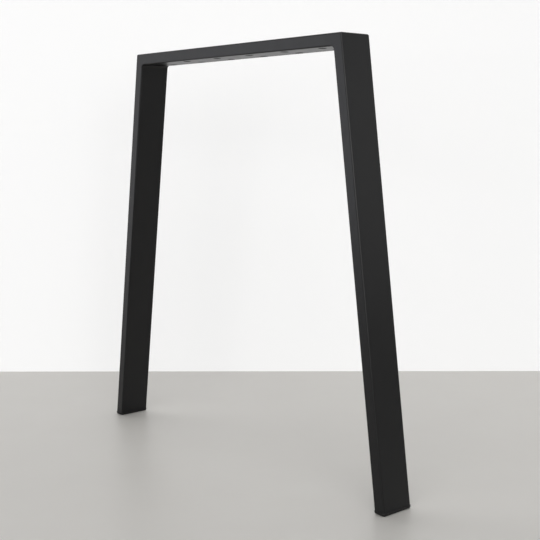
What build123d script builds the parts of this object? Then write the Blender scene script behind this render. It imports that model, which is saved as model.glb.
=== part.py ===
from build123d import *
import math
import os

# Trapezoid table leg: a bar and two leaning legs of rectangular steel tube, mitred and
# welded into one frame, with a moulded plug in the foot of each leg. Millimetres, +Z up.
# The origin is on the floor, midway between the feet and midway through the tube's depth.

# Frame, to the outside of the tube
frame_height = 720.0
top_width = 550.0
foot_width = 750.0

# Tube that the bar and both legs are cut from
tube_depth = 60.0
tube_width = 20.0
wall = 2.0
outer_radius = 2.5
least_inner_radius = 0.4

# Welds: a full-depth run through each mitre, and a smooth bead in the inside corner
weld_width = 4.5
bead_radius = 7.0
ground_radius = 3.0

# Screws go up through the bar in pairs, with a wide hole below for the screwdriver
pair_count = 6
end_margin = 37.5
edge_margin = 14.0
screw_hole = 6.5
access_hole = 14.0

# Foot plug: a flange under the tube's end and a ribbed, webbed sleeve up inside it
flange_height = 5.0
flange_lip = 1.1
flange_radius = 4.5
flange_rounding = 3.5
sleeve_height = 20.0
sleeve_gap = 1.3
sleeve_wall = 1.8
sleeve_radius = 1.5
sleeve_lead = 0.6
rib_count = 4
rib_height = 1.0
rib_clearance = 0.1
rib_lead = 0.5
web_count = 2
web_width = 1.6

# Inside radius of the tube's corners
inner_radius = max(outer_radius - wall, least_inner_radius)

# How far the legs lean out, and half of the angle turned at each mitre
lean = math.atan2((foot_width - top_width) / 2, frame_height)
half_turn = (math.pi / 2 - lean) / 2

# Right leg: its direction down to the floor, and the direction out across its width
leg_down = Vector(math.sin(lean), 0, -math.cos(lean))
leg_out = Vector(math.cos(lean), 0, math.sin(lean))
leg_length = frame_height / math.cos(lean)

# Corners of the frame on the right: outside at the top, and inside under the bar
outer_corner = Vector(top_width / 2, 0, frame_height)
inner_corner = outer_corner - Vector(tube_width * math.tan(half_turn), 0, tube_width)

# Planes: across the bar, across the right leg, and along the right mitre, facing the leg
bar_plane = Plane(origin=(0, 0, frame_height - tube_width / 2), x_dir=(0, 0, 1), z_dir=(1, 0, 0))
leg_plane = Plane(origin=outer_corner - leg_out * (tube_width / 2), x_dir=leg_out, z_dir=leg_down)
mitre_plane = Plane(origin=outer_corner, x_dir=(0, 1, 0), z_dir=leg_down + Vector(1, 0, 0))

# Reach of each tube from its plane, before it is cut: past the mitres and the floor
bar_reach = top_width / 2 + tube_width
leg_reach = leg_length + tube_width


def rod(plane, reach, inset, radius):
    """Solid rod with the tube's outline drawn in by the inset, and its own corner radius."""
    outline = RectangleRounded(tube_width - 2 * inset, tube_depth - 2 * inset, radius)
    return extrude(plane * outline, amount=reach, both=True)


def tube(plane, reach):
    """Uncut length of the tube."""
    return rod(plane, reach, 0, outer_radius) - rod(plane, reach, wall, inner_radius)


def layer(solid, bottom, top):
    """Part of a solid between two level heights."""
    above = split(solid, bisect_by=Plane.XY.offset(bottom), keep=Keep.TOP)
    return split(above, bisect_by=Plane.XY.offset(top), keep=Keep.BOTTOM)


def screw_locations(level):
    """Centres of the screw holes at a level, in pairs evenly spaced along the bar."""
    pitch = 2 * (inner_corner.X - end_margin) / (pair_count - 1)
    row_spacing = tube_depth - 2 * edge_margin
    return Pos(0, 0, level) * GridLocations(pitch, row_spacing, pair_count, 2)


def make_bar():
    """Top bar, mitred at both ends, with screw holes above and access holes below."""
    cut = mitre_plane.offset(-weld_width / 2)
    half = split(tube(bar_plane, bar_reach), bisect_by=Plane.YZ, keep=Keep.TOP)
    half = split(half, bisect_by=cut, keep=Keep.BOTTOM)
    bar = half + mirror(half, about=Plane.YZ)
    for place in screw_locations(frame_height):
        bar -= place * Cylinder(screw_hole / 2, tube_width)
    for place in screw_locations(frame_height - tube_width):
        bar -= place * Cylinder(access_hole / 2, tube_width)
    return bar


def make_leg():
    """Right leg, mitred at the top and cut level where the foot plug's flange begins."""
    cut = mitre_plane.offset(weld_width / 2)
    leg = split(tube(leg_plane, leg_reach), bisect_by=cut, keep=Keep.TOP)
    return split(leg, bisect_by=Plane.XY.offset(flange_height), keep=Keep.TOP)


def make_weld_run():
    """Weld metal through the right mitre, with its outside corner ground round."""
    back = mitre_plane.offset(-weld_width / 2)
    front = mitre_plane.offset(weld_width / 2)
    bar_side = split(tube(bar_plane, bar_reach), bisect_by=back, keep=Keep.TOP)
    bar_side = split(bar_side, bisect_by=mitre_plane, keep=Keep.BOTTOM)
    leg_side = split(tube(leg_plane, leg_reach), bisect_by=front, keep=Keep.BOTTOM)
    leg_side = split(leg_side, bisect_by=mitre_plane, keep=Keep.TOP)
    run = bar_side + leg_side
    corner_edge = run.edges().filter_by(Axis.Y).sort_by(Axis.Z)[-1]
    return fillet(corner_edge, ground_radius)


def make_bead():
    """Bead in the right inside corner: a bend of the tube's outline, less both tubes."""
    tangent = bead_radius * math.tan(half_turn)
    centre = inner_corner - Vector(tangent, 0, bead_radius)
    start = centre + Vector(0, 0, bead_radius + tube_width / 2)
    section = Plane(origin=start, x_dir=(0, 0, 1), z_dir=(1, 0, 0))
    outline = section * RectangleRounded(tube_width, tube_depth, outer_radius)
    bend = revolve(outline, axis=Axis(centre, (0, 1, 0)), revolution_arc=math.degrees(2 * half_turn))
    bar = rod(bar_plane, bar_reach, 0, outer_radius)
    leg = rod(leg_plane, leg_reach, 0, outer_radius)
    return bend - bar - leg


def make_weld():
    """Right corner weld: the run through the mitre and the bead, as one piece of metal."""
    return make_weld_run() + make_bead()


def make_flange():
    """Flange of the right foot plug, flat on the floor and a little proud of the tube."""
    flange = rod(leg_plane, leg_reach, -flange_lip, flange_radius)
    flange = layer(flange, 0, flange_height)
    return fillet(flange.faces().sort_by(Axis.Z)[0].edges(), flange_rounding)


def make_sleeve(top):
    """Sleeve of the right foot plug, open above, with webs across its hollow."""
    outside = wall + sleeve_gap
    inside = outside + sleeve_wall
    sleeve = layer(rod(leg_plane, leg_reach, outside, sleeve_radius), flange_height, top)
    sleeve = chamfer(sleeve.faces().sort_by(Axis.Z)[-1].edges(), sleeve_lead)
    hollow = layer(rod(leg_plane, leg_reach, inside, least_inner_radius), flange_height, top)
    spacing = (tube_depth - 2 * inside) / (web_count + 1)
    middle = Pos(foot_width / 2 - tube_width / 2, 0, flange_height)
    for place in middle * GridLocations(0, spacing, 1, web_count):
        hollow -= place * Box(2 * tube_width, web_width, 2 * sleeve_height)
    return sleeve - hollow


def make_rib(bottom):
    """One level rib round the sleeve, chamfered above, that grips the inside of the tube."""
    rib = rod(leg_plane, leg_reach, wall + rib_clearance, sleeve_radius)
    rib = layer(rib, bottom, bottom + rib_height)
    rib = chamfer(rib.faces().sort_by(Axis.Z)[-1].edges(), rib_lead)
    return rib - rod(leg_plane, leg_reach, wall + sleeve_gap, sleeve_radius)


def make_foot_plug():
    """Right foot plug, moulded in one piece."""
    plug = make_flange() + make_sleeve(flange_height + sleeve_height)
    pitch = sleeve_height / (rib_count + 1)
    for step in range(rib_count):
        plug += make_rib(flange_height + pitch * (step + 1) - rib_height)
    return plug


top_bar = make_bar()
right_leg = make_leg()
right_weld = make_weld()
right_plug = make_foot_plug()

parts = {
    "top_bar": top_bar,
    "right_leg": right_leg,
    "left_leg": mirror(right_leg, about=Plane.YZ),
    "right_corner_weld": right_weld,
    "left_corner_weld": mirror(right_weld, about=Plane.YZ),
    "right_foot_plug": right_plug,
    "left_foot_plug": mirror(right_plug, about=Plane.YZ),
}

os.makedirs("parts", exist_ok=True)
for name, solid in parts.items():
    export_step(solid, f"parts/{name}.step")
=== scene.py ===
"""Looks of a trapezoid table leg: a welded frame of rectangular steel tube under a matt
black powder coat, on moulded foot plugs, standing on a pale floor before a pale wall.

Everything is in metres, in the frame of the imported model, +Z up. The right half is worked
out and the left one is its mirror image. Across the tube, "out" is away from the space
between the legs: up on the bar, and away from the middle on a leg.
"""

import logging
import math
from dataclasses import dataclass, field
from enum import Enum

import bpy
import numpy as np
from mathutils import Euler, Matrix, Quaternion, Vector


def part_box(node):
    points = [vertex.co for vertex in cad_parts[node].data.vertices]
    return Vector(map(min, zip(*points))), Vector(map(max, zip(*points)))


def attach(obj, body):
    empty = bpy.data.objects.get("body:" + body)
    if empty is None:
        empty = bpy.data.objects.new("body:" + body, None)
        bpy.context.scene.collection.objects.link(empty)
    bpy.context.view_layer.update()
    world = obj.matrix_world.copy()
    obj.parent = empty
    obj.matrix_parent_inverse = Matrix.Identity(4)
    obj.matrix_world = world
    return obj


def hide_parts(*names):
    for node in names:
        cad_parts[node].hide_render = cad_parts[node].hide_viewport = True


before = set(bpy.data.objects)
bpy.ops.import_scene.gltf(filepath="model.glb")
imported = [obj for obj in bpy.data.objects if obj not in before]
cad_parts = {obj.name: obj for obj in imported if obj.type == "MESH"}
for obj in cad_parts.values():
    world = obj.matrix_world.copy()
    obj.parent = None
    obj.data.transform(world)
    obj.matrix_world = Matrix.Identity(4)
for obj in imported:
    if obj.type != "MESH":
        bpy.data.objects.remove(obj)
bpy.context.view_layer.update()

logging.basicConfig(level=logging.INFO, format="%(message)s")
log = logging.getLogger("table_leg")

BACK = np.array([0.0, 1.0, 0.0])
UP = np.array([0.0, 0.0, 1.0])
WHITE = (1.0, 1.0, 1.0, 1.0)

# Nearly all of a noise pattern's values lie between these two.
NOISE_LOW, NOISE_HIGH = 0.3, 0.7


class Side(Enum):
    """Side of the frame, as the sign of its x."""

    LEFT = -1
    RIGHT = 1


class Skin(Enum):
    """Faces of a piece by what covers them, as the number of the piece's material."""

    OUTSIDE = 0
    BORE = 1


def linear(hex_colour: str) -> tuple[float, float, float, float]:
    """Turns an sRGB hex colour into the linear colour that a shader takes.

    Args:
        hex_colour: six hex digits, such as "1f1f20".

    Returns:
        Red, green, blue and an alpha of 1.
    """
    channels = [int(hex_colour[i : i + 2], 16) / 255 for i in (0, 2, 4)]
    bent = [c / 12.92 if c <= 0.04045 else ((c + 0.055) / 1.055) ** 2.4 for c in channels]
    return (bent[0], bent[1], bent[2], 1.0)


def add_node(tree: bpy.types.NodeTree, kind: str, settings: dict | None = None,
             inputs: dict | None = None) -> bpy.types.Node:
    """Adds a node with its settings, values and links.

    Args:
        tree: the node tree that it goes into.
        kind: the node's type name.
        settings: attributes to set on the node.
        inputs: input names or numbers, each with a value or the socket that feeds it.

    Returns:
        The new node.
    """
    node = tree.nodes.new(kind)
    for name, value in (settings or {}).items():
        setattr(node, name, value)
    for name, value in (inputs or {}).items():
        if isinstance(value, bpy.types.NodeSocket):
            tree.links.new(value, node.inputs[name])
        else:
            node.inputs[name].default_value = value
    return node


def empty_material(name: str) -> bpy.types.Material:
    """Makes a material whose node tree is empty.

    Args:
        name: what the material is and how it was made.

    Returns:
        The material.
    """
    made = bpy.data.materials.new(name)
    made.use_nodes = True
    made.node_tree.nodes.clear()
    return made


# Finishes


@dataclass(frozen=True)
class PowderCoat:
    """Matt black polyester powder coat, sprayed on dry and baked until it flows together.

    To the eye it is an even deep black film that shines only at a low angle, where it
    mirrors the room as a soft grey. Flow leaves faint patches of slightly different gloss,
    and a fine grain of half a millimetre.
    """

    colour: str = "0d0d0e"
    patch_colour: str = "101011"
    roughness: float = 0.38
    roughness_play: float = 0.04
    specular: float = 0.3
    patch_size: float = 0.014
    # The real grain is about 0.5 mm, under half a pixel here, so it is drawn at 2 mm.
    grain_size: float = 0.002
    grain_height: float = 0.00001

    def material(self) -> bpy.types.Material:
        """Builds the coat's material.

        Returns:
            The material, on Object coordinates.
        """
        made = empty_material("matt_black_powder_coat")
        tree = made.node_tree
        place = add_node(tree, "ShaderNodeTexCoord").outputs["Object"]
        patches = add_node(tree, "ShaderNodeTexNoise", inputs={
            "Vector": place,
            "Scale": 1 / self.patch_size,
            "Detail": 3.0,
            "Roughness": 0.55,
        }).outputs["Fac"]
        grain = add_node(tree, "ShaderNodeTexNoise", inputs={
            "Vector": place,
            "Scale": 1 / self.grain_size,
            "Detail": 2.0,
        }).outputs["Fac"]
        colour = add_node(tree, "ShaderNodeMix", {"data_type": "RGBA"}, {
            0: patches,
            6: linear(self.colour),
            7: linear(self.patch_colour),
        }).outputs[2]
        roughness = add_node(tree, "ShaderNodeMapRange", inputs={
            "Value": patches,
            "From Min": NOISE_LOW,
            "From Max": NOISE_HIGH,
            "To Min": self.roughness - self.roughness_play / 2,
            "To Max": self.roughness + self.roughness_play / 2,
        }).outputs["Result"]
        bump = add_node(tree, "ShaderNodeBump", inputs={
            "Height": grain,
            "Distance": self.grain_height,
            "Strength": 1.0,
        }).outputs["Normal"]
        shader = add_node(tree, "ShaderNodeBsdfPrincipled", inputs={
            "Base Color": colour,
            "Roughness": roughness,
            "Specular IOR Level": self.specular,
            "Normal": bump,
        })
        add_node(tree, "ShaderNodeOutputMaterial", inputs={"Surface": shader.outputs["BSDF"]})
        return made


@dataclass(frozen=True)
class MouldedPlastic:
    """Black polyethylene, injection moulded in a spark-eroded tool.

    To the eye it is a shade softer and greyer than the coat above it, with a fine even
    texture from the tool.
    """

    colour: str = "101010"
    worn_colour: str = "191919"
    roughness: float = 0.5
    roughness_play: float = 0.08
    specular: float = 0.3
    wear_size: float = 0.008
    # The real texture is about 0.1 mm, so it is drawn five times as coarse.
    grain_size: float = 0.0005
    grain_height: float = 0.000006

    def material(self) -> bpy.types.Material:
        """Builds the plastic's material.

        Returns:
            The material, on Object coordinates.
        """
        made = empty_material("moulded_black_polyethylene")
        tree = made.node_tree
        place = add_node(tree, "ShaderNodeTexCoord").outputs["Object"]
        wear = add_node(tree, "ShaderNodeTexNoise", inputs={
            "Vector": place,
            "Scale": 1 / self.wear_size,
            "Detail": 4.0,
        }).outputs["Fac"]
        grain = add_node(tree, "ShaderNodeTexVoronoi", inputs={
            "Vector": place,
            "Scale": 1 / self.grain_size,
        }).outputs["Distance"]
        colour = add_node(tree, "ShaderNodeMix", {"data_type": "RGBA"}, {
            0: wear,
            6: linear(self.colour),
            7: linear(self.worn_colour),
        }).outputs[2]
        roughness = add_node(tree, "ShaderNodeMapRange", inputs={
            "Value": wear,
            "From Min": NOISE_LOW,
            "From Max": NOISE_HIGH,
            "To Min": self.roughness - self.roughness_play / 2,
            "To Max": self.roughness + self.roughness_play / 2,
        }).outputs["Result"]
        bump = add_node(tree, "ShaderNodeBump", inputs={
            "Height": grain,
            "Distance": self.grain_height,
            "Strength": 1.0,
        }).outputs["Normal"]
        shader = add_node(tree, "ShaderNodeBsdfPrincipled", inputs={
            "Base Color": colour,
            "Roughness": roughness,
            "Specular IOR Level": self.specular,
            "Normal": bump,
        })
        add_node(tree, "ShaderNodeOutputMaterial", inputs={"Surface": shader.outputs["BSDF"]})
        return made


@dataclass(frozen=True)
class RolledSteel:
    """Bare hot-rolled steel inside the tube, where the spray barely reaches.

    To the eye it is a dull blue-grey scale with browner patches.
    """

    colour: str = "3a3c40"
    patch_colour: str = "4a4239"
    roughness: float = 0.6
    metallic: float = 0.8
    patch_size: float = 0.02

    def material(self) -> bpy.types.Material:
        """Builds the steel's material.

        Returns:
            The material, on Object coordinates.
        """
        made = empty_material("rolled_steel_with_scale")
        tree = made.node_tree
        place = add_node(tree, "ShaderNodeTexCoord").outputs["Object"]
        patches = add_node(tree, "ShaderNodeTexNoise", inputs={
            "Vector": place,
            "Scale": 1 / self.patch_size,
            "Detail": 5.0,
        }).outputs["Fac"]
        colour = add_node(tree, "ShaderNodeMix", {"data_type": "RGBA"}, {
            0: patches,
            6: linear(self.colour),
            7: linear(self.patch_colour),
        }).outputs[2]
        shader = add_node(tree, "ShaderNodeBsdfPrincipled", inputs={
            "Base Color": colour,
            "Metallic": self.metallic,
            "Roughness": self.roughness,
        })
        add_node(tree, "ShaderNodeOutputMaterial", inputs={"Surface": shader.outputs["BSDF"]})
        return made


# Surfaces


@dataclass
class Shell:
    """Closed surface gathered patch by patch, whose shared points are then made one."""

    points: list[np.ndarray] = field(default_factory=list)
    faces: list[np.ndarray] = field(default_factory=list)
    skins: list[np.ndarray] = field(default_factory=list)
    count: int = 0
    # Sizes of a cap's rings, as shares of the ring that it closes.
    cap_steps: tuple[float, ...] = (1.0, 0.6, 0.25)
    merge_distance: float = 1e-6
    sharp_degrees: float = 31.0

    def patch(self, points: np.ndarray, skin: Skin = Skin.OUTSIDE, wrap: bool = True,
              keep: np.ndarray | None = None, inward: bool = False) -> None:
        """Adds the four-sided cells of a grid of points.

        A cell faces the way that (step along a row) x (step to the next row) points.

        Args:
            points: rows x columns x 3.
            skin: what covers the cells.
            wrap: the last column joins the first.
            keep: which cells to keep, all when left out.
            inward: the cells face the other way.
        """
        rows, columns = points.shape[:2]
        number = self.count + np.arange(rows * columns).reshape(rows, columns)
        right = np.roll(number, -1, axis=1)
        cells = np.stack([number[:-1], right[:-1], right[1:], number[1:]], axis=-1)
        if not wrap:
            cells = cells[:, :-1]
        cells = cells[keep] if keep is not None else cells.reshape(-1, 4)
        if inward:
            cells = cells[:, ::-1]
        self.points.append(points.reshape(-1, 3))
        self.faces.append(cells)
        self.skins.append(np.full(len(cells), skin.value))
        self.count += rows * columns

    def cap(self, ring: np.ndarray, skin: Skin = Skin.OUTSIDE, inward: bool = False) -> None:
        """Closes a ring of points with smaller copies of it, down to its middle point.

        Args:
            ring: n x 3, in order, flat.
            skin: what covers the cap.
            inward: the cap faces the other way.
        """
        centre = ring.mean(axis=0)
        steps = np.array(self.cap_steps)[:, None, None]
        self.patch(centre + (ring - centre) * steps, skin, inward=inward)
        inner = centre + (ring - centre) * steps[-1]
        middle = np.broadcast_to(centre, inner.shape)
        self.patch(np.stack([inner, middle]), skin, inward=inward)

    def build(self, name: str, side: Side = Side.RIGHT) -> bpy.types.Object:
        """Joins the patches into one mesh object.

        Points within a micrometre of each other become one, a cell with a doubled corner
        becomes a triangle, and points that no cell uses are left out.

        Args:
            name: the object's name.
            side: LEFT mirrors the shell and turns its faces round, so they still face out.

        Returns:
            The object, smooth except at its real edges.
        """
        points = np.concatenate(self.points)
        faces = np.concatenate(self.faces)
        if side is Side.LEFT:
            points = points * (-1, 1, 1)
            faces = faces[:, ::-1]
        cell = np.round(points / self.merge_distance).astype(np.int64)
        _, first, same = np.unique(cell, axis=0, return_index=True, return_inverse=True)
        faces = same.reshape(-1)[faces]
        single = faces != np.roll(faces, -1, axis=1)
        sizes = single.sum(axis=1)
        whole = sizes >= 3
        sizes = sizes[whole]
        used, corners = np.unique(faces[whole][single[whole]], return_inverse=True)
        points = points[first[used]]
        starts = np.concatenate([[0], np.cumsum(sizes)[:-1]])
        mesh = bpy.data.meshes.new(name)
        mesh.vertices.add(len(points))
        mesh.vertices.foreach_set("co", points.astype(np.float32).ravel())
        mesh.loops.add(len(corners))
        mesh.loops.foreach_set("vertex_index", corners.astype(np.int32))
        mesh.polygons.add(len(sizes))
        mesh.polygons.foreach_set("loop_start", starts.astype(np.int32))
        mesh.polygons.foreach_set("loop_total", sizes.astype(np.int32))
        skins = np.concatenate(self.skins)[whole]
        mesh.polygons.foreach_set("material_index", skins.astype(np.int32))
        mesh.update(calc_edges=True)
        mesh.validate()
        mesh.shade_smooth()
        mesh.set_sharp_from_angle(angle=math.radians(self.sharp_degrees))
        made = bpy.data.objects.new(name, mesh)
        bpy.context.scene.collection.objects.link(made)
        return made


@dataclass(frozen=True)
class Outline:
    """Rounded rectangle round the tube, as points in order.

    The first number of each point is the distance out from the tube's middle, and the
    second is y. It starts at the front end of the outer face and goes to the back, across
    the back face, along the inner face to the front, and across the front face.
    """

    half_width: float
    half_depth: float
    radius: float
    depth_lines: tuple[float, ...]
    arc_steps: int = 6
    hold: float = 0.0003

    def points(self) -> np.ndarray:
        """Works out the outline.

        Each corner is a quarter circle, r(cos a, sin a) about a centre one radius in from
        both sides. A line just inside each end of a flat holds the flat's shading.

        Returns:
            n x 2 points.
        """
        flat_out = self.half_width - self.radius
        flat_back = self.half_depth - self.radius
        lines = np.concatenate([[-flat_back, self.hold - flat_back], self.depth_lines,
                                [flat_back - self.hold, flat_back]])
        outer = np.stack([np.full(len(lines), self.half_width), lines], axis=-1)
        angle = np.linspace(0, math.pi / 2, self.arc_steps + 1)[1:-1]
        arc = self.radius * np.stack([np.cos(angle), np.sin(angle)], axis=-1)
        arc = arc + (flat_out, flat_back)
        across = np.array([flat_out, flat_out - self.hold, self.hold - flat_out, -flat_out])
        back = np.stack([across, np.full(len(across), self.half_depth)], axis=-1)
        half = np.concatenate([outer, arc, back, (arc * (-1, 1))[::-1]])
        return np.concatenate([half, -half])


@dataclass(frozen=True)
class TubeFrame:
    """Sizes of the welded frame, and points on it."""

    height: float
    top_width: float = 0.550
    foot_width: float = 0.750
    tube_width: float = 0.020
    tube_depth: float = 0.060
    wall: float = 0.002
    corner_radius: float = 0.0025
    bore_radius: float = 0.0005
    weld_width: float = 0.0045

    @property
    def lean(self) -> float:
        """Angle that a leg leans out."""
        return math.atan2((self.foot_width - self.top_width) / 2, self.height)

    @property
    def half_turn(self) -> float:
        """Half of the angle that the tube turns through at a mitre."""
        return (math.pi / 2 - self.lean) / 2

    @property
    def leg_out(self) -> np.ndarray:
        """Direction out across the right leg."""
        return np.array([math.cos(self.lean), 0.0, math.sin(self.lean)])

    @property
    def leg_down(self) -> np.ndarray:
        """Direction down along the right leg."""
        return np.array([math.sin(self.lean), 0.0, -math.cos(self.lean)])

    @property
    def outer_corner(self) -> np.ndarray:
        """Outside corner at the top right."""
        return np.array([self.top_width / 2, 0.0, self.height])

    def outline(self, inset: float, depth_lines: tuple[float, ...] = (0.0,)) -> np.ndarray:
        """Outline of the tube's outside (no inset) or of its bore (inset by the wall).

        Args:
            inset: how far in from the outside.
            depth_lines: where the wide faces have a line of points.

        Returns:
            n x 2 points.
        """
        radius = self.corner_radius if inset == 0 else self.bore_radius
        half_width = self.tube_width / 2 - inset
        half_depth = self.tube_depth / 2 - inset
        return Outline(half_width, half_depth, radius, depth_lines).points()

    def bar_point(self, out: np.ndarray, y: np.ndarray, x: np.ndarray) -> np.ndarray:
        """Points on the bar: x along it, y across its wide face, and out is up.

        Args:
            out: distance out from the tube's middle.
            y: distance back from the tube's middle.
            x: distance right from the middle of the frame.

        Returns:
            Points, one for each.
        """
        out, y, x = np.broadcast_arrays(out, y, x)
        return np.stack([x, y, self.height - self.tube_width / 2 + out], axis=-1)

    def leg_point(self, out: np.ndarray, y: np.ndarray, down: np.ndarray) -> np.ndarray:
        """Points on the right leg: the outside corner, moved in, back and down the leg.

        Args:
            out: distance out from the tube's middle.
            y: distance back from the tube's middle.
            down: distance down the leg from the level of its outside corner.

        Returns:
            Points, one for each.
        """
        out, y, down = (a[..., None] for a in np.broadcast_arrays(out, y, down))
        return (self.outer_corner - self.leg_out * (self.tube_width / 2 - out)
                + self.leg_down * down + BACK * y)

    def to_mitre(self, out: np.ndarray) -> np.ndarray:
        """Distance from the outside corner to the mitre, along either tube.

        It is (distance in from the outer face) x tan(half of the turn).

        Args:
            out: distance out from the tube's middle.

        Returns:
            The distances.
        """
        return (self.tube_width / 2 - out) * math.tan(self.half_turn)

    @property
    def cut_back(self) -> float:
        """Distance along a tube from the mitre to where the weld ends."""
        return self.weld_width / 2 / math.cos(self.half_turn)

    def to_level(self, out: np.ndarray, level: float) -> np.ndarray:
        """Distance down the leg from the outside corner to a height above the floor.

        Args:
            out: distance out from the tube's middle.
            level: the height.

        Returns:
            The distances.
        """
        drop = self.height - self.leg_out[2] * (self.tube_width / 2 - out) - level
        return drop / math.cos(self.lean)


def dress(piece: bpy.types.Object, node: str, slot: str, *materials: bpy.types.Material) -> None:
    """Dresses a piece, lets it stand for its CAD node and reports it.

    Args:
        piece: the new object.
        node: the CAD node that it replaces.
        slot: the record's material slot. It is not used.
        materials: its materials, in the order of Skin.
    """
    for material in materials:
        piece.data.materials.append(material)
    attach(piece, "root")
    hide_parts(node)
    mesh = piece.data
    log.info("%s: %d points, %d faces", piece.name, len(mesh.vertices), len(mesh.polygons))


# Pieces


@dataclass
class TopBar:
    """Bar of tube, mitred at both ends, with screw holes above and access holes below."""

    tube: TubeFrame
    coat: bpy.types.Material
    bore: bpy.types.Material
    pairs: int = 6
    end_margin: float = 0.0375
    edge_margin: float = 0.014
    screw_hole: float = 0.0065
    access_hole: float = 0.014
    tile: float = 0.018
    tile_steps: int = 8
    rim: float = 0.0004
    rim_steps: int = 4
    # Two more rings out on the flat round each rim, which keep the flat's shading level.
    rim_holds: tuple[float, float] = (0.0012, 0.0002)

    def hole_columns(self) -> np.ndarray:
        """Places of the pairs of holes along the bar, evenly spaced."""
        inner_end = self.tube.top_width / 2 - self.tube.to_mitre(-self.tube.tube_width / 2)
        return np.linspace(self.end_margin - inner_end, inner_end - self.end_margin, self.pairs)

    def hole_row(self) -> float:
        """Distance of each row of holes from the middle of the tube's depth."""
        return self.tube.tube_depth / 2 - self.edge_margin

    def ticks(self, centres: np.ndarray) -> np.ndarray:
        """Lines across the square tile round each hole."""
        across = np.linspace(-self.tile / 2, self.tile / 2, self.tile_steps + 1)
        return (centres[:, None] + across).ravel()

    def skin(self, outline: np.ndarray) -> np.ndarray:
        """Carries an outline along the bar, from the right mitre to the left one.

        Row by row x is a line of the hole tiles, and the first and last rows lie in the
        mitre cuts: x = half the top width, less the way to the mitre and to the cut.

        Args:
            outline: n x 2 points.

        Returns:
            rows x n x 3 points.
        """
        out, y = outline[:, 0], outline[:, 1]
        end = self.tube.top_width / 2 - self.tube.to_mitre(out) - self.tube.cut_back
        lines = self.ticks(self.hole_columns())[::-1]
        x = np.concatenate([end[None], np.repeat(lines[:, None], len(out), axis=1), -end[None]])
        return self.tube.bar_point(out, y, x)

    def hole(self, shell: Shell, x: float, y: float, up: int, radius: float) -> None:
        """Adds one hole through a wide wall, from a square tile outside to one inside.

        The tile shrinks from its square to a circle round the hole. Then the profile
        (distance from the hole's centre line, depth) rolls over the coated rim as
        r + e(1 - sin a), e(1 - cos a), and goes through the wall to the bore.

        Args:
            shell: the bar's shell.
            x: place of the hole along the bar.
            y: place of the hole across the bar.
            up: 1 for the upper wall and -1 for the lower one.
            radius: the hole's radius.
        """
        side = np.linspace(-1, 1, self.tile_steps + 1)[:-1]
        one = np.ones_like(side)
        square = np.concatenate([np.stack([one, side], -1), np.stack([-side, one], -1),
                                 np.stack([-one, -side], -1), np.stack([side, -one], -1)])
        square = square * (self.tile / 2)
        circle = square / np.linalg.norm(square, axis=1, keepdims=True)
        angle = np.linspace(0, math.pi / 2, self.rim_steps + 1)
        reach = radius + self.rim * (1 - np.sin(angle))
        depth = self.rim * (1 - np.cos(angle))
        reach = np.concatenate([reach, reach[::-1]])
        depth = np.concatenate([depth, self.tube.wall - depth[::-1]])
        wide = reach[0] + np.array(self.rim_holds)
        reach = np.concatenate([wide, reach, wide[::-1]])
        depth = np.concatenate([[0, 0], depth, [self.tube.wall] * 2])
        rings = circle * reach[:, None, None]
        rings = np.concatenate([square[None], rings, square[None]])
        depth = np.concatenate([[0], depth, [self.tube.wall]])
        if up < 0:
            rings = rings * (1, -1)
        out = up * (self.tube.tube_width / 2 - depth)
        points = self.tube.bar_point(out[:, None], y + rings[..., 1], x + rings[..., 0])
        shell.patch(points)

    def build(self) -> None:
        """Builds the bar and dresses it."""
        rows = np.array([-self.hole_row(), self.hole_row()])
        lines = tuple(np.insert(self.ticks(rows), self.tile_steps + 1, 0.0))
        outside = self.tube.outline(0, lines)
        inside = self.tube.outline(self.tube.wall, lines)
        outer, inner = self.skin(outside), self.skin(inside)
        keep = self.cells_without_holes(outside)
        shell = Shell()
        shell.patch(outer, keep=keep)
        shell.patch(inner, Skin.BORE, keep=keep, inward=True)
        shell.patch(np.stack([inner[0], outer[0]]))
        shell.patch(np.stack([outer[-1], inner[-1]]))
        for x in self.hole_columns():
            for y in rows:
                self.hole(shell, x, y, 1, self.screw_hole / 2)
                self.hole(shell, x, y, -1, self.access_hole / 2)
        dress(shell.build("bar_tube"), "top_bar", "powder_coat", self.coat, self.bore)

    def cells_without_holes(self, outline: np.ndarray) -> np.ndarray:
        """Marks the cells of the bar's skin that lie outside every hole's tile.

        Args:
            outline: the skin's outline.

        Returns:
            rows x columns of True or False, where a cell is in a tile when both its row
            and its column are, on either wide face.
        """
        columns, past_end = self.hole_columns(), self.tube.top_width
        x = np.concatenate([[past_end], self.ticks(columns)[::-1], [-past_end]])
        nearest = np.abs((x[:-1] + x[1:])[:, None] / 2 - columns).min(axis=1)
        along = nearest < self.tile / 2
        following = np.roll(outline, -1, axis=0)
        wide = np.isclose(outline[:, 0], following[:, 0])
        middle = (outline[:, 1] + following[:, 1]) / 2
        across = wide & (np.abs(np.abs(middle) - self.hole_row()) < self.tile / 2)
        return ~(along[:, None] & across[None])


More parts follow.
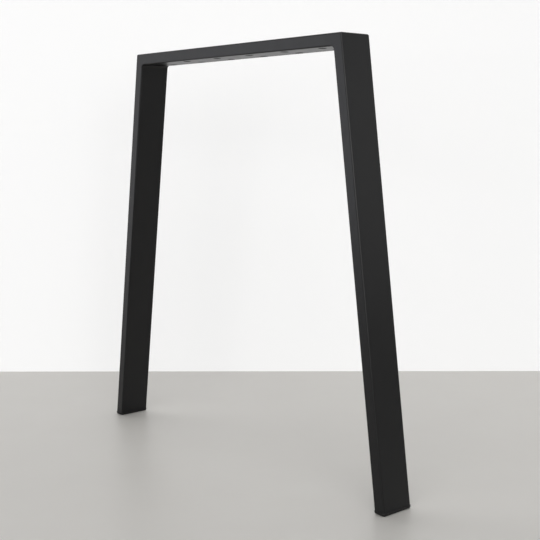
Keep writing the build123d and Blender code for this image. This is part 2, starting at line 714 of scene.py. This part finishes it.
@dataclass
class Leg:
    """Leg of tube, mitred at the top and cut level above the foot plug's flange."""

    tube: TubeFrame
    coat: bpy.types.Material
    bore: bpy.types.Material
    foot_level: float
    rows: int = 24

    def skin(self, outline: np.ndarray) -> np.ndarray:
        """Carries an outline up the right leg, from the level cut to the mitre cut.

        The distance down the leg goes evenly from (way to the level of the cut) to
        (way to the mitre and the weld's edge), both worked out for each point of the outline.

        Args:
            outline: n x 2 points.

        Returns:
            rows x n x 3 points.
        """
        out, y = outline[:, 0], outline[:, 1]
        foot = self.tube.to_level(out, self.foot_level)
        top = self.tube.to_mitre(out) + self.tube.cut_back
        share = np.linspace(0, 1, self.rows + 1)[:, None]
        return self.tube.leg_point(out, y, foot + (top - foot) * share)

    def build(self, side: Side) -> None:
        """Builds one leg and dresses it.

        Args:
            side: which leg.
        """
        outer = self.skin(self.tube.outline(0))
        inner = self.skin(self.tube.outline(self.tube.wall))
        shell = Shell()
        shell.patch(outer)
        shell.patch(inner, Skin.BORE, inward=True)
        shell.patch(np.stack([inner[0], outer[0]]))
        shell.patch(np.stack([outer[-1], inner[-1]]))
        name = f"{side.name.lower()}_leg"
        dress(shell.build(f"{name}_tube", side), name, "powder_coat", self.coat, self.bore)


@dataclass
class CornerWeld:
    """Weld through a mitre, ground round outside, with a bead in the inside corner."""

    tube: TubeFrame
    coat: bpy.types.Material
    bore: bpy.types.Material
    ground_radius: float = 0.003
    inside_radius: float = 0.0003
    bead_radius: float = 0.007
    bead_depth: float = 0.0062
    ripple_pitch: float = 0.0024
    ripple_height: float = 0.00012
    ripple_bow: float = 0.0008
    sink: float = 0.00002
    # Depth of the bead's hidden back, as a share of the tube's wall.
    root_share: float = 0.75
    arc_steps: int = 10
    ripple_steps: int = 6
    edge_steps: int = 6

    def turned(self, angle: np.ndarray) -> np.ndarray:
        """Directions that turn from out across the leg, at 0, to straight up."""
        angle = np.asarray(angle)[..., None]
        return self.tube.leg_out * np.cos(angle) - self.tube.leg_down * np.sin(angle)

    def run(self, outline: np.ndarray, radius: np.ndarray) -> np.ndarray:
        """Carries an outline round the corner, from the cut on the leg to the one on the bar.

        Each point goes straight up the leg, round a small arc in the mitre and straight
        along the bar. The arc's centre lies radius / cos(half of the turn) in from the
        mitre point, and its points are centre + radius x turned direction.

        Args:
            outline: n x 2 points.
            radius: the arc's radius for each of them.

        Returns:
            rows x n x 3 points.
        """
        out, y = outline[:, 0], outline[:, 1]
        half_turn = self.tube.half_turn
        way = self.tube.to_mitre(out)
        mitre = self.tube.leg_point(out, y, way)
        centre = mitre - self.turned(half_turn) * (radius / math.cos(half_turn))[:, None]
        angle = np.linspace(0, 2 * half_turn, self.arc_steps + 1)[:, None]
        arc = centre + self.turned(angle) * radius[:, None]
        start = self.tube.leg_point(out, y, way + self.tube.cut_back)
        end = self.tube.bar_point(out, y, self.tube.top_width / 2 - way - self.tube.cut_back)
        return np.concatenate([start[None], arc, end[None]])

    def bead_line(self, inset: float) -> tuple[np.ndarray, np.ndarray]:
        """Line across the bead, from its front edge to its back one.

        It follows the tube's outline: down the front face, round a corner of the radius
        left by the inset, along the inner face, and the same again at the back.

        Args:
            inset: how far in from the outline.

        Returns:
            Distance back (y) and depth in the inner face, for each point.
        """
        flat = self.tube.tube_depth / 2 - self.tube.corner_radius
        radius = self.tube.corner_radius - self.sink - inset
        steps = self.ripple_steps * round(2 * flat / self.ripple_pitch)
        across = np.linspace(-flat, flat, steps + 1)
        angle = np.linspace(0, math.pi / 2, self.edge_steps + 1)[1:]
        round_y = np.append(flat + radius * np.sin(angle), flat + radius)
        round_deep = np.append(inset + self.sink + radius * (1 - np.cos(angle)), self.bead_depth)
        y = np.concatenate([-round_y[::-1], across, round_y])
        flat_deep = np.full(len(across), inset + self.sink)
        return y, np.concatenate([round_deep[::-1], flat_deep, round_deep])

    def bead_sheet(self, inset: float, ripple: float) -> np.ndarray:
        """Turns the line across the bead about an axis in front of the corner.

        A point that lies d deep turns on a radius of (bead radius + d). The face swells by
        ripple x sin^2 of the turn x a wave along y, whose crests bow as a weld's do.

        Args:
            inset: how far in from the outline.
            ripple: height of the ripples.

        Returns:
            rows x n x 3 points, from the leg to the bar.
        """
        tube = self.tube
        y, deep = self.bead_line(inset)
        share = np.linspace(0, 1, 2 * self.arc_steps + 1)[:, None]
        bow = self.ripple_bow * (2 * share - 1) ** 2
        wave = 0.5 + 0.5 * np.cos(2 * math.pi * (y + bow) / self.ripple_pitch)
        shown = np.clip(1 - deep / tube.corner_radius, 0, 1)
        swell = ripple * np.sin(math.pi * share) ** 2 * wave * shown
        inner = -tube.tube_width / 2
        corner = tube.leg_point(inner, 0.0, tube.to_mitre(inner))
        inward = self.bead_radius / math.cos(tube.half_turn)
        centre = corner - self.turned(tube.half_turn) * inward
        reach = self.bead_radius + deep - swell
        points = centre + self.turned(2 * tube.half_turn * share) * reach[..., None]
        points[..., 1] = y
        return points

    def add_bead(self, shell: Shell) -> None:
        """Adds the bead, a closed sheet whose back lies inside the walls of the tubes.

        Args:
            shell: the weld's shell.
        """
        face = self.bead_sheet(0, self.ripple_height)
        back = self.bead_sheet(self.root_share * self.tube.wall, 0)
        shell.patch(face, wrap=False, inward=True)
        shell.patch(back, wrap=False)
        shell.patch(np.stack([face[0], back[0]]), wrap=False)
        shell.patch(np.stack([face[-1], back[-1]]), wrap=False, inward=True)
        shell.patch(np.stack([face[:, 0], back[:, 0]], axis=1), wrap=False)
        shell.patch(np.stack([face[:, -1], back[:, -1]], axis=1), wrap=False, inward=True)

    def build(self, side: Side) -> None:
        """Builds one corner weld and dresses it.

        Args:
            side: which corner.
        """
        outline = self.tube.outline(0)
        bore = self.tube.outline(self.tube.wall)
        flat = self.tube.tube_width / 2 - self.tube.corner_radius
        share = np.clip((outline[:, 0] - flat) / self.tube.corner_radius, 0, 1)
        radius = self.inside_radius + (self.ground_radius - self.inside_radius) * share
        outer = self.run(outline, radius)
        inner = self.run(bore, np.full(len(bore), self.inside_radius))
        shell = Shell()
        shell.patch(outer)
        shell.patch(inner, Skin.BORE, inward=True)
        shell.patch(np.stack([inner[0], outer[0]]))
        shell.patch(np.stack([outer[-1], inner[-1]]))
        self.add_bead(shell)
        name = f"{side.name.lower()}_corner_weld"
        dress(shell.build(f"{name}_metal", side), name, "powder_coat", self.coat, self.bore)


@dataclass
class FootPlug:
    """Moulded plug in a leg's foot: a flange below, and a ribbed sleeve up inside the tube."""

    tube: TubeFrame
    plastic: bpy.types.Material
    flange_height: float
    lip: float = 0.0011
    flange_radius: float = 0.0045
    rounding: float = 0.0035
    edge: float = 0.0003
    sleeve_height: float = 0.020
    sleeve_gap: float = 0.0013
    sleeve_wall: float = 0.0018
    sleeve_radius: float = 0.0015
    hollow_radius: float = 0.0004
    sleeve_lead: float = 0.0006
    ribs: int = 4
    rib_height: float = 0.001
    rib_clearance: float = 0.0001
    rib_lead: float = 0.0005
    webs: int = 2
    web_width: float = 0.0016
    arc_steps: int = 6
    edge_steps: int = 3

    def ring(self, inset: float, radius: float, level: float) -> np.ndarray:
        """Level section of the leaning plug.

        It is the tube's outline, drawn in by the inset and widened across the leg by
        1 / cos(lean), about the place of the leg's middle line at that level.

        Args:
            inset: how far in from the tube's outline, or out if below 0.
            radius: radius of its corners.
            level: height above the floor.

        Returns:
            n x 3 points.
        """
        tube = self.tube
        half_width, half_depth = tube.tube_width / 2 - inset, tube.tube_depth / 2 - inset
        shape = Outline(half_width, half_depth, radius, (0.0,)).points()
        middle = tube.top_width / 2 + (tube.height - level) * math.tan(tube.lean)
        x = middle + (shape[:, 0] - tube.tube_width / 2) / math.cos(tube.lean)
        return np.stack([x, shape[:, 1], np.full(len(shape), level)], axis=-1)

    def flange_profile(self) -> list[tuple[float, float, float]]:
        """Profile of the flange, from its sole to its upper face.

        Its lower corner is a quarter circle, drawn in by r(1 - sin a) at a height of
        r(1 - cos a). The small upper one is the same, turned over.

        Returns:
            Inset, corner radius and level of each section.
        """
        profile = []
        for angle in np.linspace(0, math.pi / 2, self.arc_steps + 1):
            drawn_in = self.rounding * (1 - math.sin(angle))
            level = self.rounding * (1 - math.cos(angle))
            profile.append((drawn_in - self.lip, self.flange_radius - drawn_in, level))
        for angle in np.linspace(0, math.pi / 2, self.edge_steps + 1):
            drawn_in = self.edge * (1 - math.cos(angle))
            level = self.flange_height - self.edge * (1 - math.sin(angle))
            profile.append((drawn_in - self.lip, self.flange_radius - drawn_in, level))
        return profile

    def sleeve_profile(self) -> list[tuple[float, float, float]]:
        """Profile of the sleeve, up its ribbed outside, over its rim and down its hollow.

        Returns:
            Inset, corner radius and level of each section.
        """
        outside = self.tube.wall + self.sleeve_gap
        tip = self.tube.wall + self.rib_clearance
        top = self.flange_height + self.sleeve_height
        pitch = self.sleeve_height / (self.ribs + 1)
        profile = [(outside, self.sleeve_radius, self.flange_height)]
        for number in range(1, self.ribs + 1):
            above = self.flange_height + pitch * number
            below = above - self.rib_height
            profile += [(outside, self.sleeve_radius, below), (tip, self.sleeve_radius, below),
                        (tip, self.sleeve_radius, above - self.rib_lead),
                        (tip + self.rib_lead, self.sleeve_radius, above),
                        (outside, self.sleeve_radius, above)]
        inside = outside + self.sleeve_wall
        profile += [(outside, self.sleeve_radius, top - self.sleeve_lead),
                    (outside + self.sleeve_lead, self.sleeve_radius - self.sleeve_lead, top),
                    (inside, self.hollow_radius, top),
                    (inside, self.hollow_radius, self.flange_height)]
        return profile

    def add_web(self, shell: Shell, y: float) -> None:
        """Adds one web across the sleeve's hollow, sunk a little in its walls.

        Args:
            shell: the plug's shell.
            y: the web's place across the tube's depth.
        """
        tube = self.tube
        into_wall = tube.wall + self.sleeve_gap + self.sleeve_wall / 2
        half = (tube.tube_width / 2 - into_wall) / math.cos(tube.lean)
        front, back = y - self.web_width / 2, y + self.web_width / 2
        around = np.array([[half, front], [half, back], [-half, back], [-half, front]])
        levels = self.flange_height - self.edge + np.array([0.0, self.sleeve_height])
        outside = tube.top_width / 2 + (tube.height - levels) * math.tan(tube.lean)
        middle = outside - tube.tube_width / 2 / math.cos(tube.lean)
        x = middle[:, None] + around[:, 0]
        box = np.stack(np.broadcast_arrays(x, around[:, 1], levels[:, None]), axis=-1)
        shell.patch(box)
        shell.patch(box[0][[[0, 1], [3, 2]]], wrap=False, inward=True)
        shell.patch(box[1][[[0, 1], [3, 2]]], wrap=False)

    def build(self, side: Side) -> None:
        """Builds one foot plug and dresses it.

        Args:
            side: which foot.
        """
        profile = self.flange_profile() + self.sleeve_profile()
        rings = np.stack([self.ring(*section) for section in profile])
        shell = Shell()
        shell.patch(rings)
        shell.cap(rings[0], inward=True)
        shell.cap(rings[-1])
        spacing = (self.tube.tube_depth - 2 * profile[-1][0]) / (self.webs + 1)
        for number in range(self.webs):
            self.add_web(shell, spacing * (number - (self.webs - 1) / 2))
        name = f"{side.name.lower()}_foot_plug"
        dress(shell.build(f"{name}_moulding", side), name, "foot_plastic", self.plastic)


# Stage


@dataclass(frozen=True)
class SoftBox:
    """Rectangular soft light that faces a point, and can be kept off named things."""

    name: str
    place: tuple[float, float, float]
    target: tuple[float, float, float]
    width: float
    height: float
    power: float
    colour: tuple[float, float, float] = (1.0, 1.0, 1.0)
    kept_off: tuple[str, ...] = ()

    def flag(self, made: bpy.types.Object) -> None:
        """Keeps the light off the things named, as flags do on a real stage.

        Args:
            made: the light's object.
        """
        flagged = bpy.data.collections.new(f"{self.name}_flag")
        for thing in self.kept_off:
            flagged.objects.link(bpy.data.objects[thing])
        for entry in flagged.collection_objects:
            entry.light_linking.link_state = "EXCLUDE"
        made.light_linking.receiver_collection = flagged

    def build(self) -> None:
        """Builds the light, once the things that it is kept off are there."""
        data = bpy.data.lights.new(self.name, "AREA")
        data.shape = "RECTANGLE"
        data.size = self.width
        data.size_y = self.height
        data.energy = self.power
        data.color = self.colour
        made = bpy.data.objects.new(self.name, data)
        made.location = self.place
        facing = Vector(self.target) - Vector(self.place)
        made.rotation_euler = facing.to_track_quat("-Z", "Y").to_euler()
        if self.kept_off:
            self.flag(made)
        bpy.context.scene.collection.objects.link(made)


@dataclass
class Studio:
    """Pale floor, pale glowing wall, soft lights and the camera."""

    camera_place: tuple[float, float, float] = (1.35425, -1.09286, 0.56711)
    camera_yaw: float = 0.862874
    camera_pitch: float = 0.133405
    camera_roll: float = -0.00112
    focal_length_mm: float = 66.616
    sensor_width_mm: float = 36.0
    wall_distance: float = 2.375
    half_extent: float = 4.2
    floor_reach: float = 3.1
    floor_colour: str = "e2dfda"
    floor_patch_colour: str = "e7e5e0"
    floor_patches_per_metre: float = 7.0
    floor_roughness: float = 0.42
    floor_specular: float = 0.5
    wall_colour: str = "cbcbcb"
    wall_roughness: float = 0.9
    wall_glow: float = 0.42
    room_light: float = 0.02
    room_look: float = 0.85
    lights: tuple[SoftBox, ...] = (
        SoftBox("window_left", place=(-1.9, -2.2, 0.8), target=(0, 0, 0.5), width=1.5,
                height=1.5, power=17.5, colour=(0.93, 0.94, 1.0), kept_off=("floor",)),
        SoftBox("back_right", place=(2.2, 1.6, 1.1), target=(0.3, 0, 0.5), width=1.5,
                height=1.5, power=7.0),
        SoftBox("front", place=(0.45, -3.17, 1.1), target=(0, 0, 0.4), width=3.2,
                height=1.2, power=18.0, kept_off=("floor",)),
        SoftBox("behind_camera", place=(2.26, -2.26, 1.1), target=(0, 0, 0.4), width=3.2,
                height=1.2, power=50.0, kept_off=("floor",)),
        SoftBox("right", place=(3.17, -0.45, 1.1), target=(0, 0, 0.4), width=3.2,
                height=1.2, power=18.0, kept_off=("floor",)),
        SoftBox("overhead", place=(1.2, -1.2, 2.6), target=(0.9, -0.9, 0), width=2.4,
                height=2.4, power=34.0),
    )

    def camera(self) -> None:
        """Makes the camera at the photograph's place and angle."""
        data = bpy.data.cameras.new("camera")
        data.lens = self.focal_length_mm
        data.sensor_width = self.sensor_width_mm
        made = bpy.data.objects.new("camera", data)
        made.location = self.camera_place
        level = Euler((math.pi / 2 - self.camera_pitch, 0, self.camera_yaw)).to_quaternion()
        made.rotation_euler = (level @ Quaternion((0, 0, 1), self.camera_roll)).to_euler()
        bpy.context.scene.collection.objects.link(made)
        bpy.context.scene.camera = made

    def spots(self, across: list[float], nearer: list[float], height: list[float]) -> np.ndarray:
        """Points measured from the middle of the line where the floor meets the wall.

        Args:
            across: distance along that line, to the camera's right.
            nearer: distance from the wall towards the camera.
            height: height above the floor.

        Returns:
            n x 3 points.
        """
        ahead = np.array([-math.sin(self.camera_yaw), math.cos(self.camera_yaw), 0.0])
        aside = np.array([math.cos(self.camera_yaw), math.sin(self.camera_yaw), 0.0])
        foot = np.array([*self.camera_place[:2], 0.0]) + self.wall_distance * ahead
        across, nearer, height = (np.asarray(a, float)[:, None] for a in (across, nearer, height))
        return foot + across * aside - nearer * ahead + height * UP

    def sheet(self, name: str, corners: np.ndarray, material: bpy.types.Material) -> None:
        """Makes one flat sheet of the stage.

        Args:
            name: the object's name.
            corners: 4 x 3 points.
            material: what covers it.
        """
        mesh = bpy.data.meshes.new(name)
        mesh.from_pydata(corners.tolist(), [], [(0, 1, 2, 3)])
        mesh.materials.append(material)
        made = bpy.data.objects.new(name, mesh)
        bpy.context.scene.collection.objects.link(made)

    def show_front_only(self, tree: bpy.types.NodeTree, shader: bpy.types.Node) -> None:
        """Puts a shader on the front of a sheet and leaves its back clear, to be seen through.

        Args:
            tree: the sheet's node tree.
            shader: what its front looks like.
        """
        back = add_node(tree, "ShaderNodeNewGeometry").outputs["Backfacing"]
        clear = add_node(tree, "ShaderNodeBsdfTransparent").outputs["BSDF"]
        surface = add_node(tree, "ShaderNodeMixShader", inputs={
            0: back,
            1: shader.outputs["BSDF"],
            2: clear,
        }).outputs["Shader"]
        add_node(tree, "ShaderNodeOutputMaterial", inputs={"Surface": surface})

    def floor_material(self) -> bpy.types.Material:
        """Builds pale sealed concrete, plain but for faint soft patches.

        Returns:
            The material. Its sealed skin mirrors what stands on it as a soft blur.
        """
        made = empty_material("pale_sealed_concrete")
        tree = made.node_tree
        place = add_node(tree, "ShaderNodeTexCoord").outputs["Object"]
        patches = add_node(tree, "ShaderNodeTexNoise", inputs={
            "Vector": place,
            "Scale": self.floor_patches_per_metre,
            "Detail": 6.0,
            "Roughness": 0.6,
        }).outputs["Fac"]
        colour = add_node(tree, "ShaderNodeMix", {"data_type": "RGBA"}, {
            0: patches,
            6: linear(self.floor_colour),
            7: linear(self.floor_patch_colour),
        }).outputs[2]
        shader = add_node(tree, "ShaderNodeBsdfPrincipled", inputs={
            "Base Color": colour,
            "Roughness": self.floor_roughness,
            "Specular IOR Level": self.floor_specular,
        })
        self.show_front_only(tree, shader)
        return made

    def wall_material(self) -> bpy.types.Material:
        """Builds a plain white painted wall, lit evenly by its own glow.

        Returns:
            The material.
        """
        made = empty_material("white_painted_wall")
        tree = made.node_tree
        shader = add_node(tree, "ShaderNodeBsdfPrincipled", inputs={
            "Base Color": linear(self.wall_colour),
            "Roughness": self.wall_roughness,
            "Specular IOR Level": 0.0,
            "Emission Color": WHITE,
            "Emission Strength": self.wall_glow,
        })
        self.show_front_only(tree, shader)
        return made

    def room(self) -> None:
        """Makes the room round the stage, dim as a light and pale where it is looked at."""
        world = bpy.data.worlds.new("room")
        world.use_nodes = True
        tree = world.node_tree
        tree.nodes.clear()
        looked_at = add_node(tree, "ShaderNodeLightPath").outputs["Is Camera Ray"]
        dim, pale = (
            add_node(tree, "ShaderNodeBackground", inputs={"Color": WHITE, "Strength": strength})
            for strength in (self.room_light, self.room_look)
        )
        both = add_node(tree, "ShaderNodeMixShader", inputs={
            0: looked_at,
            1: dim.outputs["Background"],
            2: pale.outputs["Background"],
        }).outputs["Shader"]
        add_node(tree, "ShaderNodeOutputWorld", inputs={"Surface": both})
        bpy.context.scene.world = world

    def build(self) -> None:
        """Builds the stage and the camera."""
        end, reach, zero = self.half_extent, self.floor_reach, [0, 0, 0, 0]
        wall = self.spots([-end, end, end, -end], zero, [0, 0, end, end])
        self.sheet("wall", wall, self.wall_material())
        floor = self.spots([-end, end, end, -end], [reach, reach, 0, 0], zero)
        self.sheet("floor", floor, self.floor_material())
        self.room()
        bpy.context.scene.view_settings.view_transform = "Standard"
        self.camera()
        log.info("stage: floor, wall and the camera")

    def light(self) -> None:
        """Builds the lights."""
        for light in self.lights:
            light.build()
        log.info("stage: %d lights", len(self.lights))


def main() -> None:
    """Builds the studio and the pieces, each in place of its CAD node."""
    studio = Studio()
    studio.build()
    coat = PowderCoat().material()
    plastic = MouldedPlastic().material()
    bore = RolledSteel().material()
    tube = TubeFrame(height=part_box("top_bar")[1].z)
    flange_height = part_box("right_leg")[0].z
    TopBar(tube, coat, bore).build()
    for side in Side:
        Leg(tube, coat, bore, flange_height).build(side)
        CornerWeld(tube, coat, bore).build(side)
        FootPlug(tube, plastic, flange_height).build(side)
    studio.light()


if __name__ == "__main__":
    main()
